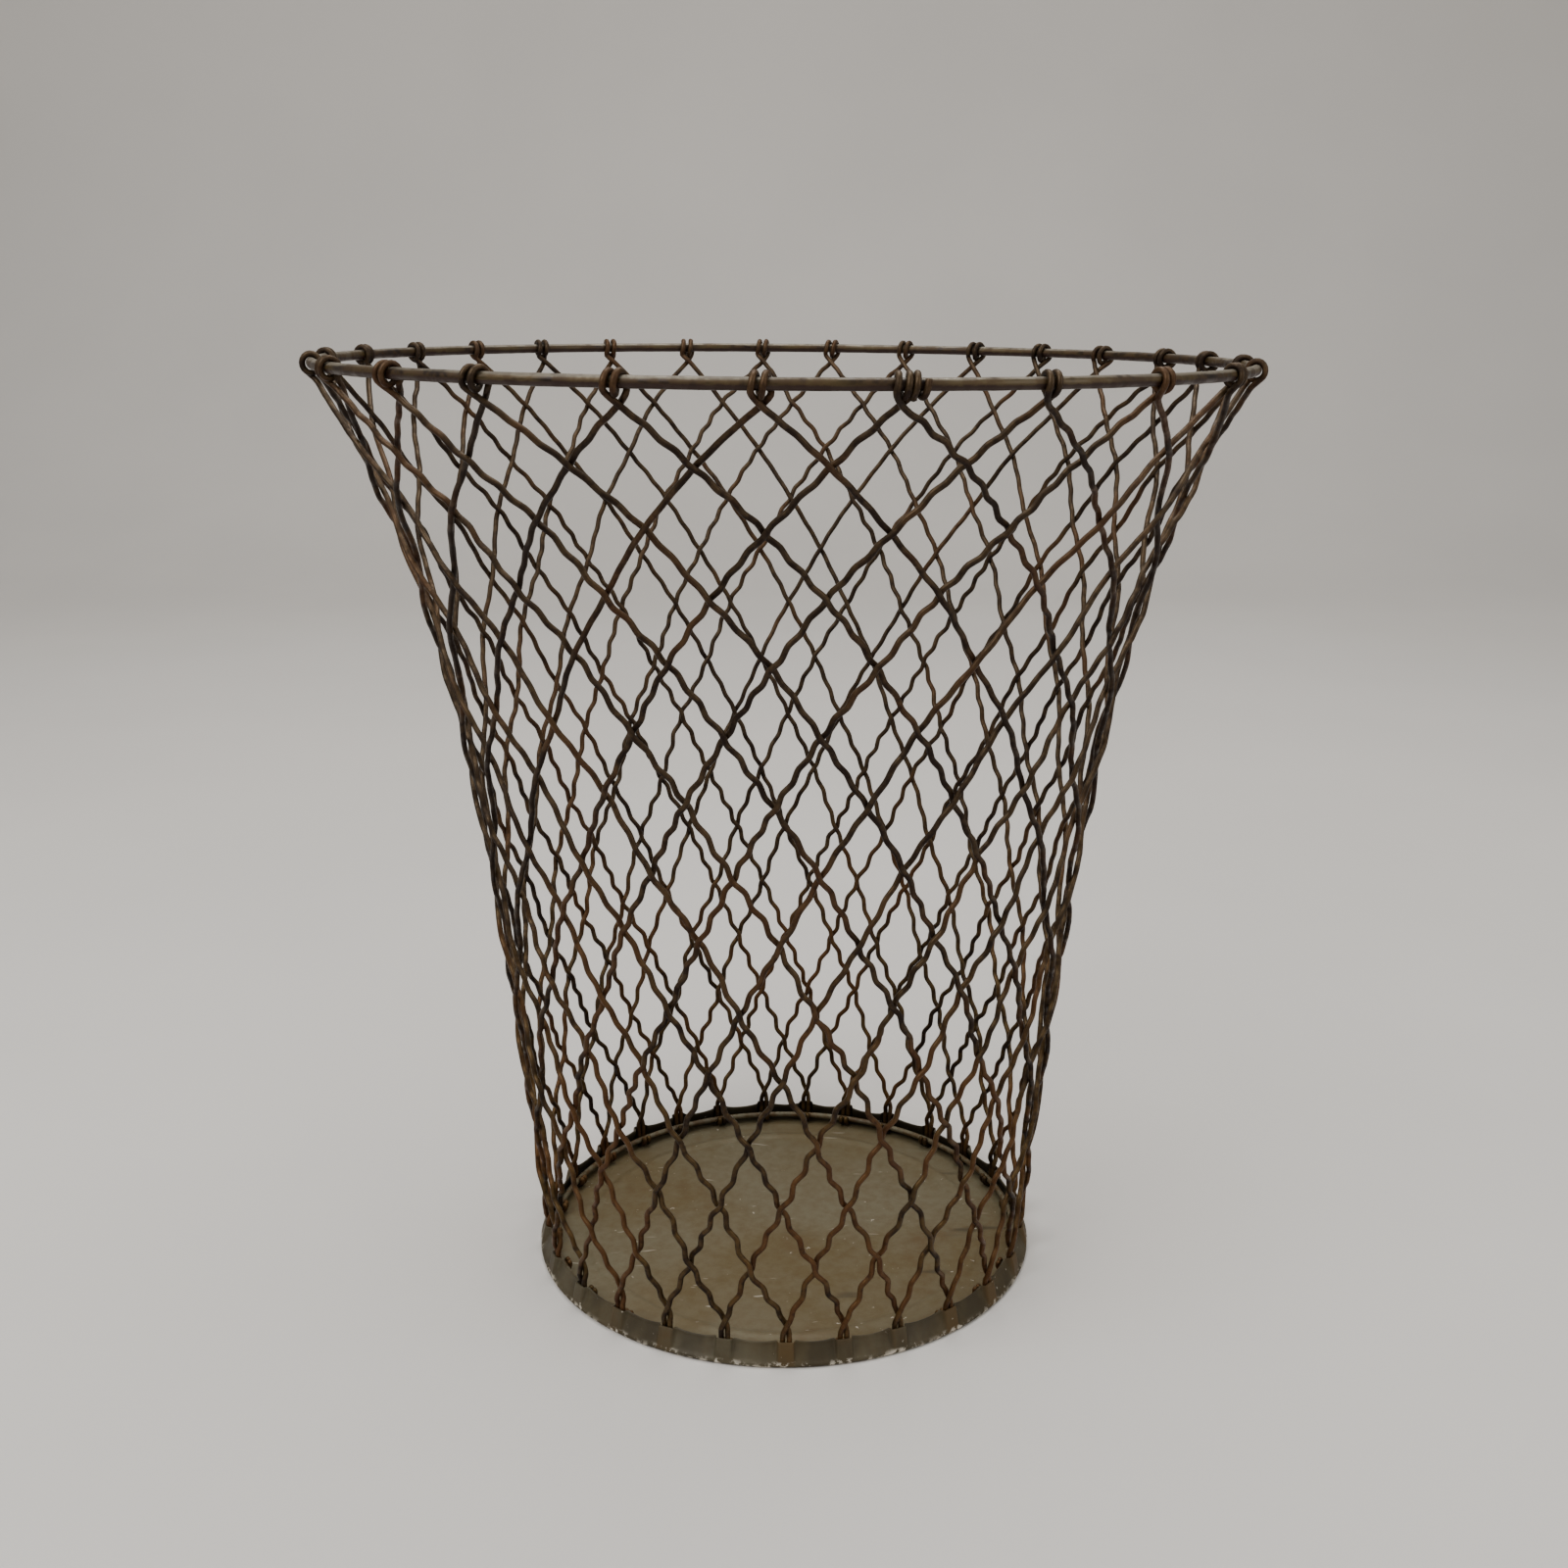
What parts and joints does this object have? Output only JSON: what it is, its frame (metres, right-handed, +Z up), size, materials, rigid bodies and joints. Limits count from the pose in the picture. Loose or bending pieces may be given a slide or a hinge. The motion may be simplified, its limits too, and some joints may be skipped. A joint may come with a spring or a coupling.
{
  "type": "wire wastebasket",
  "caption": "Round open wastebasket with a flared net of woven wires, a rod rim and a shallow sheet-metal base pan; it stands on the floor and holds waste paper.",
  "frame": {"origin": "on the floor, under the centre of the base pan", "axes": "+Z up along the basket's axis; -Y is the front"},
  "size_m": [0.3483, 0.348, 0.3649],
  "materials": {
    "rim_rod": "aged grey-brown patina, worn smooth on top",
    "net_wire": "dark brown oxide with olive and rust tones",
    "hoop_wire": "dull grey-brown, dusty",
    "pan_sheet": "dull olive-grey tinned sheet with brown stains and fine scratches"
  },
  "bodies": {
    "root": {"rim_ring": "rim_rod", "rim_tie_wire": "net_wire", "base_hoop": "hoop_wire", "base_pan": "pan_sheet", "side_wire_01": "net_wire", "side_wire_02": "net_wire", "side_wire_03": "net_wire", "side_wire_04": "net_wire", "side_wire_05": "net_wire", "side_wire_06": "net_wire", "side_wire_07": "net_wire", "side_wire_08": "net_wire", "side_wire_09": "net_wire", "side_wire_10": "net_wire", "side_wire_11": "net_wire", "side_wire_12": "net_wire", "side_wire_13": "net_wire", "side_wire_14": "net_wire", "side_wire_15": "net_wire", "side_wire_16": "net_wire", "side_wire_17": "net_wire", "side_wire_18": "net_wire", "side_wire_19": "net_wire", "side_wire_20": "net_wire", "side_wire_21": "net_wire", "side_wire_22": "net_wire", "side_wire_23": "net_wire", "side_wire_24": "net_wire", "side_wire_25": "net_wire", "side_wire_26": "net_wire", "side_wire_27": "net_wire"}
  },
  "joints": []
}
